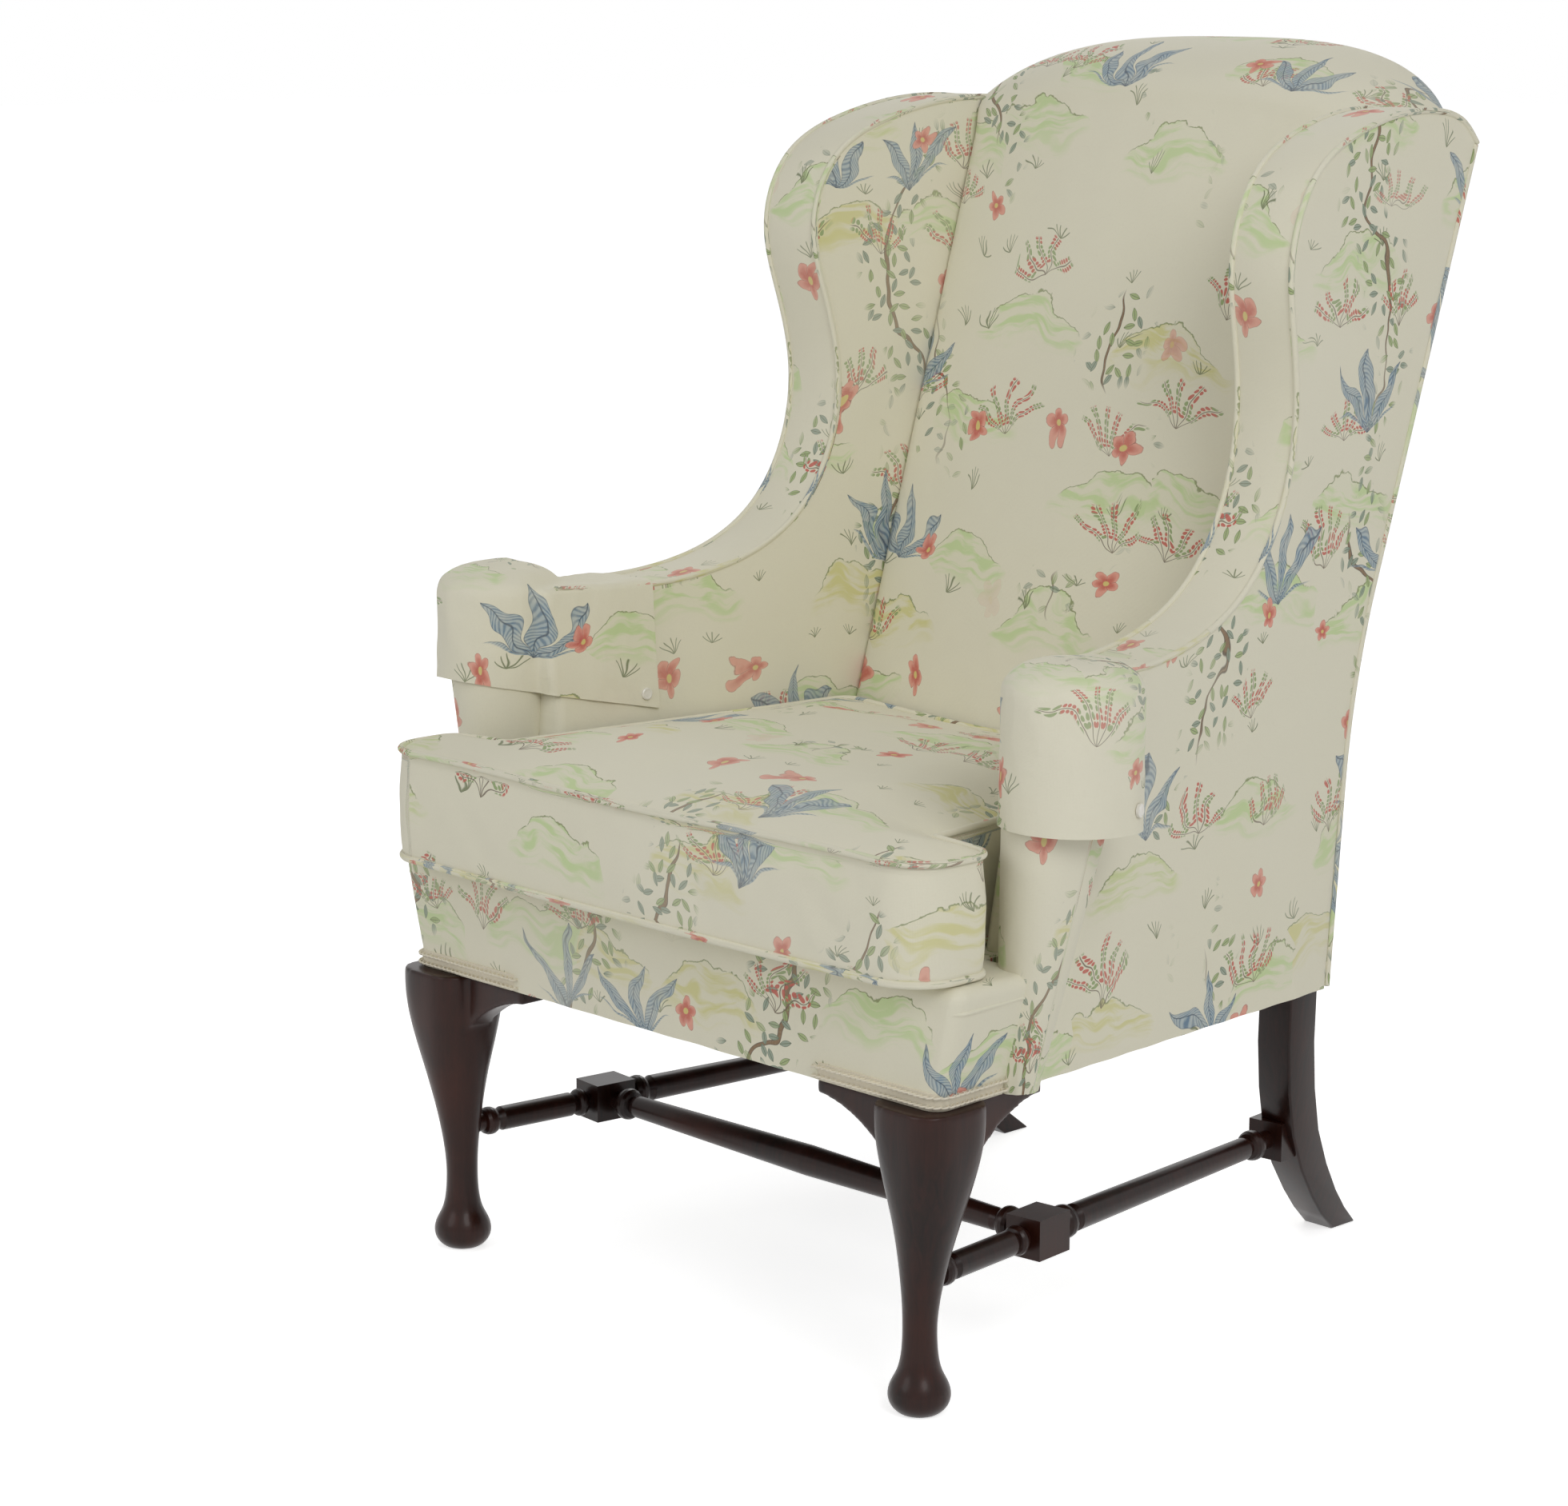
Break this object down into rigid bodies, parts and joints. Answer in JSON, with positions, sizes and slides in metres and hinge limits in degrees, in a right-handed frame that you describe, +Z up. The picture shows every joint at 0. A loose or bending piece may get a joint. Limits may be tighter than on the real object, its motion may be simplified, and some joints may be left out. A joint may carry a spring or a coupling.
{
  "type": "wing armchair",
  "caption": "Wing armchair with rolled arms, a loose T cushion and slip-on arm covers, on cabriole front legs and raked rear legs joined by turned stretchers.",
  "frame": {"origin": "middle of the floor rectangle under the whole chair", "axes": "+Z up, the front of the chair faces -Y, +X is to the right of someone who looks at the front"},
  "size_m": [0.9004, 0.8408, 1.1804],
  "materials": {
    "upholstery": "matt printed cotton and linen over padding, cream ground",
    "show_wood": "dark polished mahogany",
    "frame_wood": "plain sawn beech",
    "webbing": "woven jute",
    "canvas": "plain hessian and lining cloth",
    "braid": "woven cream gimp",
    "button": "white shirt button"
  },
  "bodies": {
    "chair": {"arm_cone_left": "frame_wood", "arm_cone_right": "frame_wood", "arm_front_roll_left": "upholstery", "arm_front_roll_right": "upholstery", "arm_rail_left": "frame_wood", "arm_rail_right": "frame_wood", "back_rail": "frame_wood", "back_webbing": "webbing", "corner_blocks": "frame_wood", "crest_rail": "frame_wood", "cross_stretcher": "show_wood", "dust_cover": "canvas", "edge_band_left": "upholstery", "edge_band_right": "upholstery", "front_border": "upholstery", "front_leg_left": "show_wood", "front_leg_right": "show_wood", "front_rail": "frame_wood", "gimp_left": "braid", "gimp_right": "braid", "inside_arm_wing_left": "upholstery", "inside_arm_wing_right": "upholstery", "inside_back": "upholstery", "knee_bracket_front_left": "show_wood", "knee_bracket_front_right": "show_wood", "knee_bracket_side_left": "show_wood", "knee_bracket_side_right": "show_wood", "outside_back": "upholstery", "outside_panel_left": "upholstery", "outside_panel_right": "upholstery", "rear_leg_left": "show_wood", "rear_leg_right": "show_wood", "seat_canvas": "canvas", "seat_deck": "upholstery", "seat_webbing": "webbing", "side_rail_left": "frame_wood", "side_rail_right": "frame_wood", "side_stretcher_left": "show_wood", "side_stretcher_right": "show_wood", "stay_rail": "frame_wood", "wing_top_rail_left": "frame_wood", "wing_top_rail_right": "frame_wood", "wing_upright_left": "frame_wood", "wing_upright_right": "frame_wood"},
    "cushion": {"seat_cushion": "upholstery"},
    "cover_left": {"arm_cover_left": "upholstery", "cover_button_left": "button", "cover_button_outer_left": "button"},
    "cover_right": {"arm_cover_right": "upholstery", "cover_button_right": "button", "cover_button_outer_right": "button"}
  },
  "joints": [
    {"name": "cushion_lift", "type": "slide", "parent": "chair", "child": "cushion", "axis": [0, 0, 1], "range_m": [0, 0.25]},
    {"name": "cover_left_lift", "type": "slide", "parent": "chair", "child": "cover_left", "axis": [0, 0, 1], "range_m": [0, 0.17]},
    {"name": "cover_right_lift", "type": "slide", "parent": "chair", "child": "cover_right", "axis": [0, 0, 1], "range_m": [0, 0.17]}
  ]
}
